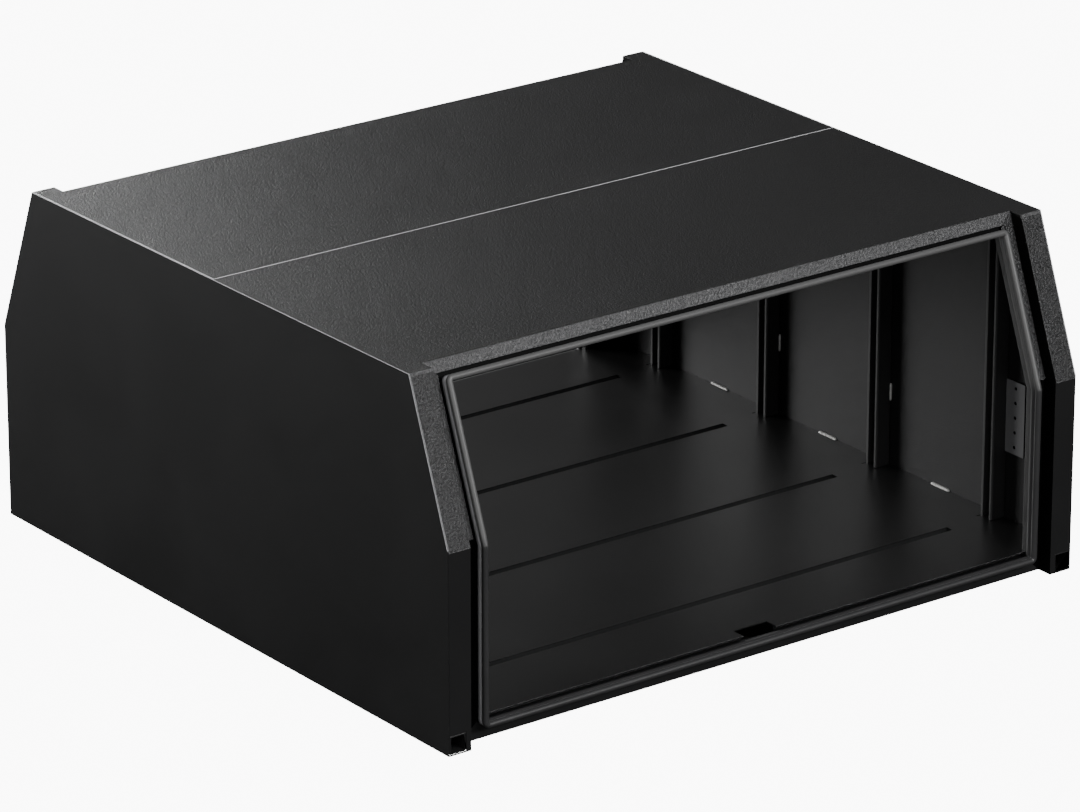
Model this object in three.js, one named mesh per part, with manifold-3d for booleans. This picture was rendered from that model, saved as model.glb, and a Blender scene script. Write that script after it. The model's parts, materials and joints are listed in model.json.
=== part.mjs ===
// Aluminium tool box body for the tray of a truck, open on both long sides, doors taken off.
// Units are millimetres. X runs along the door openings, Y across the vehicle's length, Z up.
// The origin is the middle of the footprint, on the surface that the body stands on.

import * as THREE from 'three';
import { mergeVertices } from 'three/addons/utils/BufferGeometryUtils.js';
import Module from 'manifold-3d';

const wasm = await Module();
wasm.setup();

// Overall form: two vertical sides that lean inwards above the waist
const bodyLength = 1804;
const bodyWidth = 1784;
const bodyHeight = 854;
const waistHeight = 486;
const shoulderInset = 139;

// Sheet and clearance
const wallSheet = 3;
const frameSheet = 2.5;
const seat = 0.3;
const overrun = 20;
const bendSteps = 3;

// Corner posts and their sloping caps
const postWidth = 62;
const capLip = 6;
const capStand = 5;
const capFloorDepth = 36;
const capFloorWidth = 34;
const tabLip = 8;

// Door frame: a water gutter with an upstanding flange that carries the seal
const gutterDepth = 41;
const flangeLine = 45;
const flangeTip = 21;
const flangeRoot = 52;
const frameReturn = 20;
const frameBend = 3;
const roofFlange = 30;

// Seal on the flange: a clip with a bulb in front of it
const bulbRadius = 8;
const clipHalfWidth = 6;
const clipFront = 19;
const clipBack = 29;
const neckOuter = 2.5;
const neckInner = 4.5;
const sealCornerRadius = 9;
const bulbSteps = 14;
const sealCornerSteps = 5;

// Square tube under each end wall
const tubeSize = 45;
const tubeWall = 4;
const footReturn = 50;

// Strut channel used for the ribs, the floor and the roof
const channelSize = 41;
const channelSheet = 2.5;
const channelMouth = 22;
const channelLip = 9;
const channelBend = 4;
const channelEdgeGap = 253;
const channelCount = 4;

// Floor
const floorHeight = 58;
const floorFrontGap = 38;
const slotWidth = 20.5;
const slotEndGap = 156;
const reliefWidth = 3;
const reliefReach = 10;
const latchNotchWidth = 96;
const latchNotchDepth = 37;
const latchRim = 4;

// Roof
const seamGap = 1.5;
const seamStripWidth = 60;

// Bracket plate for a door's gas strut
const bracketWidth = 66;
const bracketHeight = 183;
const bracketSheet = 6;
const bracketRibGap = 1.5;
const bracketBase = 228;
const bracketHoles = 5;
const bracketHolePitch = 37;
const bracketHoleRadius = 4.5;
const bracketHoleDrop = 17;
const holeSteps = 16;

// Weld beads
const beadSize = 6;
const floorBeadLength = 66;
const beadSteps = 4;

// Worked out from the sizes above
const halfLength = bodyLength / 2;
const halfWidth = bodyWidth / 2;
const slopeAngle = Math.atan2(shoulderInset, bodyHeight - waistHeight);
const slopeLength = Math.hypot(shoulderInset, bodyHeight - waistHeight);
const slopeSin = Math.sin(slopeAngle);
const slopeCos = Math.cos(slopeAngle);
const bendSlope = Math.tan(slopeAngle / 2);
const flangeX = postWidth + flangeLine;
const flangeHalf = frameSheet / 2;
const frameWaist = waistHeight - capStand / slopeSin;
const foldDepth = capFloorDepth - capStand;
const roofUnder = bodyHeight - wallSheet - seat;
const floorUnder = floorHeight - wallSheet - seat;
const tubeInner = wallSheet + seat + tubeSize;
const tubeHeight = wallSheet + seat;
const channelReach = bodyWidth - 2 * channelEdgeGap;
const channelPlaces = Array.from({ length: channelCount }, (_, i) => (
  -channelReach / 2 + (i * channelReach) / (channelCount - 1)
));

// Finishes
const coat = new THREE.MeshStandardMaterial({ color: 0x151515, roughness: 0.5, metalness: 0.2 });
const innerCoat = new THREE.MeshStandardMaterial({ color: 0x1d1d1e, roughness: 0.42, metalness: 0.2 });
const sealRubber = new THREE.MeshStandardMaterial({ color: 0x222324, roughness: 0.6, metalness: 0 });
const weldMetal = new THREE.MeshStandardMaterial({ color: 0x8b8b88, roughness: 0.45, metalness: 0.8 });

// Solids

function toSolid(geometry) {
  const bare = geometry.clone();
  bare.deleteAttribute('normal');
  bare.deleteAttribute('uv');
  const merged = mergeVertices(bare);
  return new wasm.Manifold(new wasm.Mesh({
    numProp: 3,
    vertProperties: new Float32Array(merged.attributes.position.array),
    triVerts: new Uint32Array(merged.index.array),
  }));
}

function toGeometry(solid) {
  const mesh = solid.getMesh();
  const geometry = new THREE.BufferGeometry();
  geometry.setAttribute('position', new THREE.BufferAttribute(new Float32Array(mesh.vertProperties), 3));
  geometry.setIndex(new THREE.BufferAttribute(new Uint32Array(mesh.triVerts), 1));
  return geometry;
}

function joined(first, ...others) {
  return toGeometry(others.reduce((whole, next) => whole.add(toSolid(next)), toSolid(first)));
}

function cut(body, ...tools) {
  return toGeometry(tools.reduce((left, tool) => left.subtract(toSolid(tool)), toSolid(body)));
}

// A box between two corners, given in either order
function box(x0, x1, y0, y1, z0, z1) {
  const geometry = new THREE.BoxGeometry(Math.abs(x1 - x0), Math.abs(y1 - y0), Math.abs(z1 - z0));
  return geometry.translate((x0 + x1) / 2, (y0 + y1) / 2, (z0 + z1) / 2);
}

function extruded(points, depth) {
  const shape = new THREE.Shape(points.map(([p, q]) => new THREE.Vector2(p, q)));
  return new THREE.ExtrudeGeometry(shape, { depth, bevelEnabled: false });
}

// A profile given in Y and Z, carried along X
function alongX(points, x0, x1) {
  const turn = new THREE.Matrix4().makeBasis(
    new THREE.Vector3(0, 1, 0),
    new THREE.Vector3(0, 0, 1),
    new THREE.Vector3(1, 0, 0),
  );
  return extruded(points, x1 - x0).applyMatrix4(turn).translate(x0, 0, 0);
}

// A profile given in X and Y, carried up Z
function alongZ(points, z0, z1) {
  return extruded(points, z1 - z0).translate(0, 0, z0);
}

// A profile given in X and Z, carried along Y
function alongY(points, y0, y1) {
  const turn = new THREE.Matrix4().makeBasis(
    new THREE.Vector3(0, 0, 1),
    new THREE.Vector3(1, 0, 0),
    new THREE.Vector3(0, 1, 0),
  );
  return extruded(points.map(([x, z]) => [z, x]), y1 - y0).applyMatrix4(turn).translate(0, y0, 0);
}

function arc(p, q, radius, from, to, steps) {
  return Array.from({ length: steps + 1 }, (_, i) => {
    const angle = from + ((to - from) * i) / steps;
    return [p + radius * Math.cos(angle), q + radius * Math.sin(angle)];
  });
}

function mirroredX(geometry) {
  const copy = geometry.clone().applyMatrix4(new THREE.Matrix4().makeScale(-1, 1, 1));
  return copy.index ? flipped(copy) : flipped(mergeVertices(copy));
}

function flipped(geometry) {
  const index = geometry.index.array;
  for (let i = 0; i < index.length; i += 3) [index[i], index[i + 1]] = [index[i + 1], index[i]];
  return geometry;
}

// The front side is flat up to the waist and slopes back above it. A place on it has a height
// along the sheet, counted from the waist, and a depth behind the outer face. The door frame
// leans back from a lower waist than the caps, which stand a little in front of it.

function onSlope(along, depth, waist = waistHeight) {
  return [
    -halfWidth + along * slopeSin + depth * slopeCos,
    waist + along * slopeCos - depth * slopeSin,
  ];
}

function slopeY(z, depth, waist = waistHeight) {
  return -halfWidth + (depth + (z - waist) * slopeSin) / slopeCos;
}

function slopeAlong(z, depth, waist = waistHeight) {
  return (z - waist + depth * slopeSin) / slopeCos;
}

function slopePlate(outline, shallow, deep, waist = waistHeight) {
  const [y, z] = onSlope(0, deep, waist);
  const place = new THREE.Matrix4().makeBasis(
    new THREE.Vector3(1, 0, 0),
    new THREE.Vector3(0, slopeSin, slopeCos),
    new THREE.Vector3(0, -slopeCos, slopeSin),
  ).setPosition(0, y, z);
  return extruded(outline, deep - shallow).applyMatrix4(place);
}

// A section of side offsets and depths, carried through stations that place it in space
function swept(section, stations, closed) {
  const count = section.length;
  const positions = [];
  for (const station of stations) {
    for (const [out, depth] of section) positions.push(...station(out, depth));
  }
  const index = [];
  const spans = closed ? stations.length : stations.length - 1;
  for (let i = 0; i < spans; i += 1) {
    const here = i * count;
    const next = ((i + 1) % stations.length) * count;
    for (let j = 0; j < count; j += 1) {
      const k = (j + 1) % count;
      index.push(here + j, here + k, next + k, here + j, next + k, next + j);
    }
  }
  if (!closed) {
    const contour = section.map(([p, q]) => new THREE.Vector2(p, q));
    const last = (stations.length - 1) * count;
    for (const [a, b, c] of THREE.ShapeUtils.triangulateShape(contour, [])) {
      index.push(a, c, b, last + a, last + b, last + c);
    }
  }
  const geometry = new THREE.BufferGeometry();
  geometry.setAttribute('position', new THREE.BufferAttribute(new Float32Array(positions), 3));
  geometry.setIndex(index);
  return signedVolume(geometry) < 0 ? flipped(geometry) : geometry;
}

function signedVolume(geometry) {
  const at = geometry.attributes.position;
  const index = geometry.index.array;
  const [a, b, c] = [new THREE.Vector3(), new THREE.Vector3(), new THREE.Vector3()];
  let total = 0;
  for (let i = 0; i < index.length; i += 3) {
    a.fromBufferAttribute(at, index[i]);
    b.fromBufferAttribute(at, index[i + 1]);
    c.fromBufferAttribute(at, index[i + 2]);
    total += a.dot(b.cross(c)) / 6;
  }
  return total;
}

// End wall: one sheet with the six-sided outline of the body, returned under the tube

function endWall() {
  const outline = [
    [-halfWidth, 0],
    [halfWidth, 0],
    [halfWidth, waistHeight],
    [halfWidth - shoulderInset, bodyHeight],
    [-halfWidth + shoulderInset, bodyHeight],
    [-halfWidth, waistHeight],
  ];
  const side = halfWidth - gutterDepth - frameSheet - seat;
  const foot = box(-halfLength, -halfLength + footReturn, -side, side, 0, wallSheet);
  return joined(alongX(outline, -halfLength, -halfLength + wallSheet), foot);
}

// Square tube under the end wall, open at both ends

function baseTube() {
  const x0 = -halfLength + wallSheet + seat;
  const outer = box(x0, x0 + tubeSize, -halfWidth, halfWidth, tubeHeight, tubeHeight + tubeSize);
  const bore = box(
    x0 + tubeWall,
    x0 + tubeSize - tubeWall,
    -halfWidth - overrun,
    halfWidth + overrun,
    tubeHeight + tubeWall,
    tubeHeight + tubeSize - tubeWall,
  );
  return cut(outer, bore);
}

// Corner post: a folded angle below the waist, with a square cut-out round the tube's end

function capPlateOutline(clear) {
  const x0 = -halfLength + wallSheet + seat - clear;
  const x1 = -halfLength + postWidth + clear;
  const top = slopeLength - tabLip - seat + clear;
  return [[x0, -capLip - clear], [x1, -capLip - clear], [x1, top], [x0, top]];
}

function cornerPost() {
  const x0 = -halfLength + wallSheet + seat;
  const x1 = -halfLength + postWidth;
  const y0 = -halfWidth;
  const y1 = -halfWidth + gutterDepth + frameSheet;
  const angle = [
    [x0, y0],
    [x1, y0],
    [x1, y1],
    [x1 - frameSheet, y1],
    [x1 - frameSheet, y0 + frameSheet],
    [x0, y0 + frameSheet],
  ];
  const post = alongZ(angle, 0, waistHeight - seat);
  const footCut = box(
    x0 - overrun,
    x0 + tubeSize + seat,
    y0 - overrun,
    y0 + frameSheet + seat,
    tubeHeight - seat,
    tubeHeight + tubeSize + seat,
  );
  const capClearance = slopePlate(capPlateOutline(seat), -overrun, frameSheet + seat);
  return cut(post, footCut, capClearance);
}

// Sloping cap above the post: a front plate with a drip lip at the waist, the gutter's side, and
// a strip over the gutter's floor that is mitred with the roof's fold

function slopeCap() {
  const front = slopePlate(capPlateOutline(0), 0, frameSheet);
  const x1 = -halfLength + postWidth;
  const deep = capStand + gutterDepth + frameSheet;
  const tabAlong = slopeLength - tabLip - seat;
  const tabDeep = wallSheet + seat;
  const side = [
    [slopeY(waistHeight, 0), waistHeight],
    [slopeY(waistHeight, deep), waistHeight],
    [slopeY(roofUnder, deep), roofUnder],
    [slopeY(roofUnder, tabDeep), roofUnder],
    onSlope(tabAlong, tabDeep),
    onSlope(tabAlong, 0),
  ];
  const reach = flangeLine - capFloorWidth;
  const high = flangeTop + flangeLine - seat;
  const low = slopeAlong(waistHeight, foldDepth, frameWaist) - capLip;
  const aboveWaist = slopeAlong(waistHeight, foldDepth + frameSheet, frameWaist);
  const floor = [
    [x1 + seat, low],
    [x1 + capFloorWidth, low],
    [x1 + capFloorWidth, flangeTop + reach - seat],
    [x1, high],
    [x1 - frameSheet, high],
    [x1 - frameSheet, aboveWaist],
    [x1 + seat, aboveWaist],
  ];
  const floorStrip = slopePlate(floor, foldDepth, foldDepth + frameSheet, frameWaist);
  return cut(joined(front, alongX(side, x1 - frameSheet, x1), floorStrip), underRoof());
}

// Door frame members share one folded section, mitred where they meet

function frameSection() {
  const outer = flangeLine - seat;
  const back = flangeRoot - frameSheet;
  const bendX = frameBend - flangeHalf;
  const bend = arc(bendX, flangeRoot - frameBend, frameBend, Math.PI / 2, Math.PI, bendSteps);
  return [
    [-flangeHalf, flangeTip],
    [flangeHalf, flangeTip],
    [flangeHalf, gutterDepth],
    [outer, gutterDepth],
    [outer, gutterDepth + frameSheet],
    [flangeHalf, gutterDepth + frameSheet],
    [flangeHalf, back],
    [frameReturn, back],
    [frameReturn, flangeRoot],
    ...bend,
  ];
}

// The sill's flange turns up at the back and carries the floor's edge
function sillSection() {
  const back = flangeRoot - frameSheet;
  const rise = floorUnder - flangeLine;
  return [
    [-flangeHalf, flangeTip],
    [flangeHalf, flangeTip],
    [flangeHalf, gutterDepth],
    [flangeLine, gutterDepth],
    [flangeLine, gutterDepth + frameSheet],
    [flangeHalf, gutterDepth + frameSheet],
    [flangeHalf, flangeRoot],
    [-rise, flangeRoot],
    [-rise, back],
    [-flangeHalf, back],
  ];
}

const flangeLeft = -halfLength + flangeX;
const flangeTop = slopeAlong(bodyHeight, foldDepth, frameWaist) - flangeLine;
const mitre = seat / 2;
const onFlat = (x, z, depth) => [x, -halfWidth + depth, z];
const onLean = (x, along, depth) => [x, ...onSlope(along, depth, frameWaist)];

// The flange is cut away behind each rounded corner of the seal
function sealCornerRelief(side, atTop) {
  const x0 = side * (flangeLeft - clipHalfWidth);
  const x1 = side * (flangeLeft + sealCornerRadius + seat);
  const deep = clipBack + seat;
  if (!atTop) {
    const top = flangeLine + sealCornerRadius + seat;
    return box(x0, x1, -halfWidth, -halfWidth + deep, flangeLine - clipHalfWidth, top);
  }
  const [low, high] = [flangeTop - sealCornerRadius - seat, flangeTop + clipHalfWidth];
  return slopePlate([[x0, low], [x1, low], [x1, high], [x0, high]], 0, deep, frameWaist);
}

// Trims a member that reaches up to the roof
function underRoof() {
  return box(-halfLength, halfLength, -halfWidth, 0, roofUnder, roofUnder + overrun);
}

function lowerJamb() {
  const foot = (out, depth) => onFlat(flangeLeft - out, flangeLine - out + mitre, depth);
  const head = (out, depth) => onFlat(flangeLeft - out, frameWaist - depth * bendSlope - mitre, depth);
  const member = swept(frameSection(), [foot, head], false);
  return cut(member, sealCornerRelief(1, false));
}

function upperJamb() {
  const foot = (out, depth) => onLean(flangeLeft - out, depth * bendSlope + mitre, depth);
  const head = (out, depth) => onLean(flangeLeft - out, flangeTop + out - mitre, depth);
  const member = swept(frameSection(), [foot, head], false);
  return cut(member, sealCornerRelief(1, true), underRoof());
}

function header() {
  const end = (side) => (out, depth) => onLean(side * (flangeLeft - out), flangeTop + out + mitre, depth);
  const member = swept(frameSection(), [end(1), end(-1)], false);
  return cut(member, underRoof(), sealCornerRelief(1, true), sealCornerRelief(-1, true));
}

function sill() {
  const end = (side) => (out, depth) => onFlat(side * (flangeLeft - out), flangeLine - out - mitre, depth);
  const member = swept(sillSection(), [end(1), end(-1)], false);
  const below = box(-halfLength, halfLength, -halfWidth, 0, -overrun, 0);
  const notch = latchNotchWidth / 2;
  const latchHole = box(
    -notch,
    notch,
    -halfWidth + clipBack + latchRim,
    -halfWidth + flangeRoot + overrun,
    flangeLine - flangeHalf - seat,
    floorHeight,
  );
  return cut(member, below, latchHole, sealCornerRelief(1, false), sealCornerRelief(-1, false));
}

// Seal: one closed loop round the flange, bent at the waist with it

function sealSection() {
  const start = Math.acos(neckOuter / bulbRadius);
  const end = Math.PI - Math.acos(neckInner / bulbRadius);
  const slot = flangeHalf + seat;
  const bulb = arc(0, bulbRadius, bulbRadius, start, end - 2 * Math.PI, bulbSteps);
  return [
    [slot, clipBack],
    [clipHalfWidth, clipBack],
    [clipHalfWidth, clipFront],
    [neckOuter, clipFront - neckOuter / 2],
    ...bulb,
    [-clipHalfWidth, clipFront - neckOuter / 2],
    [-clipHalfWidth, clipBack],
    [-slot, clipBack],
    [-slot, flangeTip - seat],
    [slot, flangeTip - seat],
  ];
}

function doorSeal() {
  const place = (x, run, depth) => (
    run < frameWaist ? onFlat(x, run, depth) : onLean(x, run - frameWaist, depth)
  );
  const bend = (x, sign) => (out, depth) => (
    onFlat(x + sign * out, frameWaist - depth * bendSlope, depth)
  );
  const bottom = flangeLine + sealCornerRadius;
  const top = frameWaist + flangeTop - sealCornerRadius;
  const side = flangeLeft + sealCornerRadius;
  const corner = (x, run, from) => Array.from({ length: sealCornerSteps + 1 }, (_, i) => {
    const angle = from + ((Math.PI / 2) * i) / sealCornerSteps;
    return (out, depth) => {
      const reach = sealCornerRadius + out;
      return place(x + reach * Math.cos(angle), run + reach * Math.sin(angle), depth);
    };
  });
  const stations = [
    ...corner(side, bottom, Math.PI),
    ...corner(-side, bottom, 1.5 * Math.PI),
    bend(-flangeLeft, 1),
    ...corner(-side, top, 0),
    ...corner(side, top, Math.PI / 2),
    bend(flangeLeft, -1),
  ];
  return swept(sealSection(), stations, true);
}

// Strut channel: a folded box section with a lipped mouth, its mouth towards +Y of the profile

function channelProfile() {
  const half = channelSize / 2;
  const mouth = channelMouth / 2;
  const sheet = channelSheet;
  const inner = half - sheet;
  const bend = channelBend - sheet;
  const right = [
    ...arc(half - channelBend, channelBend, channelBend, -Math.PI / 2, 0, bendSteps),
    ...arc(half - channelBend, channelSize - channelBend, channelBend, 0, Math.PI / 2, bendSteps),
    [mouth, channelSize],
    [mouth, channelSize - channelLip],
    [mouth + sheet, channelSize - channelLip],
    [mouth + sheet, channelSize - sheet],
    ...arc(inner - bend, channelSize - sheet - bend, bend, Math.PI / 2, 0, bendSteps),
    ...arc(inner - bend, sheet + bend, bend, 0, -Math.PI / 2, bendSteps),
  ];
  const left = right.map(([p, q]) => [-p, q]).reverse();
  return [...right, ...left];
}

function rib() {
  const foot = -halfLength + wallSheet + seat;
  const profile = channelProfile().map(([p, q]) => [foot + q, -p]);
  return alongZ(profile, floorHeight + seat, roofUnder);
}

function floorChannel() {
  const end = halfLength - tubeInner - seat;
  const profile = channelProfile().map(([p, q]) => [p, floorUnder - channelSize + q]);
  return alongX(profile, -end, end);
}

function roofChannel() {
  const end = halfLength - wallSheet - seat - channelSize - seat;
  const profile = channelProfile().map(([p, q]) => [-p, roofUnder - q]);
  return alongX(profile, -end, end);
}

// Floor sheet with a slot over each channel, reliefs at the ribs and a latch notch at each edge

function floorPanel() {
  const x1 = halfLength - wallSheet - seat;
  const step = halfLength - flangeX - flangeHalf - seat;
  const edge = halfWidth - floorFrontGap;
  const back = halfWidth - flangeRoot - seat;
  const notch = latchNotchWidth / 2;
  const deep = edge - latchNotchDepth;
  const quarter = [[x1, back], [step, back], [step, edge], [notch, edge], [notch, deep]];
  const ring = (sx, sy) => quarter.map(([x, y]) => [sx * x, sy * y]);
  const outline = [...ring(1, 1), ...ring(-1, 1).reverse(), ...ring(-1, -1), ...ring(1, -1).reverse()];
  const slotEnd = halfLength - slotEndGap;
  const tools = [];
  for (const y of channelPlaces) {
    const half = slotWidth / 2;
    tools.push(box(-slotEnd, slotEnd, y - half, y + half, floorUnder - overrun, floorHeight + overrun));
    for (const side of [-1, 1]) {
      for (const end of [-1, 1]) {
        const near = end * (x1 + overrun);
        const far = end * (x1 - channelSize - reliefReach);
        const y0 = y + (side * channelSize) / 2;
        tools.push(box(near, far, y0, y0 + side * reliefWidth, floorUnder - overrun, floorHeight + overrun));
      }
    }
  }
  return cut(alongZ(outline, floorHeight - wallSheet, floorHeight), ...tools);
}

// Roof panel: half of the roof, folded down at the front into the gutter and over the posts

function roofPanel() {
  const seam = -seamGap / 2;
  const sheetUnder = bodyHeight - wallSheet;
  const inner = halfLength - postWidth - seat;
  const outer = halfLength - wallSheet - seat;
  const foldBack = foldDepth + frameSheet;
  const foldFoot = flangeTop + flangeLine - roofFlange;
  const middle = [
    [slopeY(bodyHeight, foldDepth, frameWaist), bodyHeight],
    onSlope(foldFoot, foldDepth, frameWaist),
    onSlope(foldFoot, foldBack, frameWaist),
    [slopeY(sheetUnder, foldBack, frameWaist), sheetUnder],
    [seam, sheetUnder],
    [seam, bodyHeight],
  ];
  const tab = [
    [slopeY(bodyHeight, 0), bodyHeight],
    onSlope(slopeLength - tabLip, 0),
    onSlope(slopeLength - tabLip, wallSheet),
    [slopeY(sheetUnder, wallSheet), sheetUnder],
    [seam, sheetUnder],
    [seam, bodyHeight],
  ];
  const trimmed = cut(alongX(middle, -inner, inner), foldMitre(1, sheetUnder), foldMitre(-1, sheetUnder));
  return joined(trimmed, alongX(tab, -outer, -inner), alongX(tab, inner, outer));
}

// Takes the end of the fold off along the mitre it shares with the cap
function foldMitre(side, ceiling) {
  const low = flangeTop + flangeLine - roofFlange - overrun;
  const high = flangeTop + flangeLine + overrun;
  const edgeAt = (along) => halfLength - flangeX + along - flangeTop - seat;
  const far = halfLength + overrun;
  const outline = [[edgeAt(low), low], [far, low], [far, high], [edgeAt(high), high]];
  const turned = outline.map(([x, along]) => [side * x, along]);
  const wedge = slopePlate(turned, foldDepth - overrun, foldDepth + frameSheet + overrun, frameWaist);
  const below = box(-far, far, -halfWidth, 0, waistHeight, ceiling);
  return toGeometry(toSolid(wedge).intersect(toSolid(below)));
}

function seamStrip() {
  const end = halfLength - wallSheet - seat;
  const half = seamStripWidth / 2;
  return box(-end, end, -half, half, roofUnder - wallSheet, roofUnder);
}

// Bracket for a gas strut: a plate on the end wall with a column of holes

function strutBracket() {
  const x0 = -halfLength + wallSheet + seat;
  const x1 = x0 + bracketSheet;
  const y1 = channelPlaces[0] - channelSize / 2 - bracketRibGap;
  const y0 = y1 - bracketWidth;
  const plate = box(x0, x1, y0, y1, bracketBase, bracketBase + bracketHeight);
  const drills = Array.from({ length: bracketHoles }, (_, i) => {
    const drill = new THREE.CylinderGeometry(bracketHoleRadius, bracketHoleRadius, overrun, holeSteps);
    const z = bracketBase + bracketHeight - bracketHoleDrop - i * bracketHolePitch;
    return drill.rotateZ(Math.PI / 2).translate(x1, (y0 + y1) / 2, z);
  });
  return cut(plate, ...drills);
}

// Weld bead along the foot of the end wall: a quarter-round fillet

function floorWeld() {
  const corner = -halfLength + wallSheet + seat;
  const rise = floorHeight + seat;
  const profile = [[corner, rise], ...arc(corner, rise, beadSize, 0, Math.PI / 2, beadSteps)];
  return alongY(profile, -floorBeadLength / 2, floorBeadLength / 2);
}

// Assembly

function named(name, geometry, material) {
  const piece = new THREE.Mesh(geometry, material);
  piece.name = name;
  return piece;
}

const shapes = {
  post: cornerPost(),
  cap: slopeCap(),
  lowerJamb: lowerJamb(),
  upperJamb: upperJamb(),
  header: header(),
  sill: sill(),
  seal: doorSeal(),
  roof: roofPanel(),
  wall: endWall(),
  tube: baseTube(),
  rib: rib(),
  bracket: strutBracket(),
  weld: floorWeld(),
};

// One long side, with its door frame, seal and half of the roof
function sideAssembly(face, hands) {
  const side = new THREE.Group();
  for (const [hand, name] of Object.entries(hands)) {
    const turned = (geometry) => (hand === 'near' ? geometry : mirroredX(geometry));
    side.add(named(`${face}_${name}_post`, turned(shapes.post), coat));
    side.add(named(`${face}_${name}_slope_cap`, turned(shapes.cap), coat));
    side.add(named(`${face}_${name}_lower_jamb`, turned(shapes.lowerJamb), coat));
    side.add(named(`${face}_${name}_upper_jamb`, turned(shapes.upperJamb), coat));
  }
  side.add(named(`${face}_header`, shapes.header, coat));
  side.add(named(`${face}_sill`, shapes.sill, coat));
  side.add(named(`${face}_door_seal`, shapes.seal, sealRubber));
  side.add(named(`${face}_roof_panel`, shapes.roof, coat));
  return side;
}

// One end, with its wall, tube, ribs, strut brackets and welds
function endAssembly(end, sides) {
  const group = new THREE.Group();
  group.add(named(`${end}_end_wall`, shapes.wall, coat));
  group.add(named(`${end}_base_tube`, shapes.tube, coat));
  channelPlaces.forEach((y, i) => {
    const post = named(`${end}_rib_${i + 1}`, shapes.rib, innerCoat);
    post.position.y = y;
    group.add(post);
  });
  const otherBracket = mirroredX(shapes.bracket).rotateZ(Math.PI);
  group.add(named(`${sides[0]}_${end}_strut_bracket`, shapes.bracket, innerCoat));
  group.add(named(`${sides[1]}_${end}_strut_bracket`, otherBracket, innerCoat));
  channelPlaces.slice(1).forEach((y, i) => {
    const weld = named(`${end}_floor_weld_${i + 1}`, shapes.weld, weldMetal);
    weld.position.y = (y + channelPlaces[i]) / 2;
    group.add(weld);
  });
  return group;
}

const toolBox = new THREE.Group();
toolBox.add(sideAssembly('front', { near: 'left', far: 'right' }));
const rear = sideAssembly('rear', { near: 'right', far: 'left' });
rear.rotation.z = Math.PI;
toolBox.add(rear);
toolBox.add(endAssembly('left', ['front', 'rear']));
const right = endAssembly('right', ['rear', 'front']);
right.rotation.z = Math.PI;
toolBox.add(right);

channelPlaces.forEach((y, i) => {
  const below = named(`floor_channel_${i + 1}`, floorChannel(), innerCoat);
  below.position.y = y;
  const above = named(`roof_channel_${i + 1}`, roofChannel(), innerCoat);
  above.position.y = y;
  toolBox.add(below, above);
});
toolBox.add(named('floor_panel', floorPanel(), innerCoat));
toolBox.add(named('roof_seam_strip', seamStrip(), coat));

export default toolBox;
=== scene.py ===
# %% [markdown]
# # A black tool box body for the tray of a truck
# The body is sheet aluminium under black powder coat: two six-sided end walls, a roof in two
# halves, a slotted floor, and an open door frame with a bulb seal on each long side. The frame
# that the CAD gives is exact, so everything here is about how the metal, the coat, the rubber
# and the welds look. The first cell loads that frame.

import json
import math

import bmesh
import bpy
import numpy as np
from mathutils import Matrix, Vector


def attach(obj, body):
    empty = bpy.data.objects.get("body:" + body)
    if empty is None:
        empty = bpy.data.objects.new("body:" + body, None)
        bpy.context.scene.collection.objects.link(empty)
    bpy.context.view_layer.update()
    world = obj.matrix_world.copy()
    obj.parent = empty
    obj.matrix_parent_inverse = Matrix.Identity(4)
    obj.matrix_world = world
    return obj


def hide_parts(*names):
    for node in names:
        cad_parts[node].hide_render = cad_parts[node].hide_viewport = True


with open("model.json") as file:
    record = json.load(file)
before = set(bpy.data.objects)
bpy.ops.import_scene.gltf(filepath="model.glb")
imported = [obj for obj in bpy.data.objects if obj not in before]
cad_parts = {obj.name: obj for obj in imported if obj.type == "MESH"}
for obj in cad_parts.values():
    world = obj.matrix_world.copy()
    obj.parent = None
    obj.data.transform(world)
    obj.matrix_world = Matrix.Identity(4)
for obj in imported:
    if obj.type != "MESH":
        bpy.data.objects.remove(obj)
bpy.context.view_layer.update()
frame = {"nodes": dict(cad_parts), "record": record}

# %% [markdown]
# ## Camera
# The photograph was taken from far away with a long lens, from the front left corner and from
# above. Its place was worked out from the body's straight edges, so the camera is set by a
# place, a heading and a tilt, and its lens by the angle that the body fills.

# %% Camera
CAMERA_PLACE = (-8.2797, -11.0653, 5.6256)
CAMERA_HEADING = math.radians(36.861)
CAMERA_TILT = math.radians(20.918)
SENSOR_WIDTH = 36.0
LENS = 209.53
FAR_CLIP = 200.0

camera_data = bpy.data.cameras.new("photo_camera")
camera_data.sensor_width = SENSOR_WIDTH
camera_data.lens = LENS
camera_data.clip_end = FAR_CLIP
camera = bpy.data.objects.new("photo_camera", camera_data)
camera.location = CAMERA_PLACE
camera.rotation_euler = (math.pi / 2 - CAMERA_TILT, 0.0, -CAMERA_HEADING)
bpy.context.collection.objects.link(camera)
bpy.context.scene.camera = camera
print("camera stands", round(math.dist(CAMERA_PLACE, (0, 0, 0)), 2), "m from the body")

# %% [markdown]
# ## Shader tools
# Nodes are placed by name and joined by name, which needs a lot of typing. Two short helpers
# keep each material readable: one adds a node and sets its plain values, one joins two sockets.


# %% Shader helpers
def node(tree, kind, **values):
    """Add a node. Each value sets the property of its name, or else the input of its name."""
    made = tree.nodes.new(kind)
    for name, value in values.items():
        label = name.replace("_", " ")
        if hasattr(made, name):
            setattr(made, name, value)
        else:
            made.inputs[label].default_value = value
    return made


def link(tree, source, target):
    """Join an output (node, name) to an input (node, name)."""
    tree.links.new(source[0].outputs[source[1]], target[0].inputs[target[1]])


# %% [markdown]
# ## The skin of powder coat
# Powder coat is sprayed as dry plastic dust and baked. It never flows out quite flat. Outside,
# this body has a leathery skin with wrinkles a few millimetres wide, and inside a much calmer
# one. Both are noise in the object's own coordinates: a broad peel that is bent by its own
# distortion, and a fine grain on top. The group gives the height that the bump needs.


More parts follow.
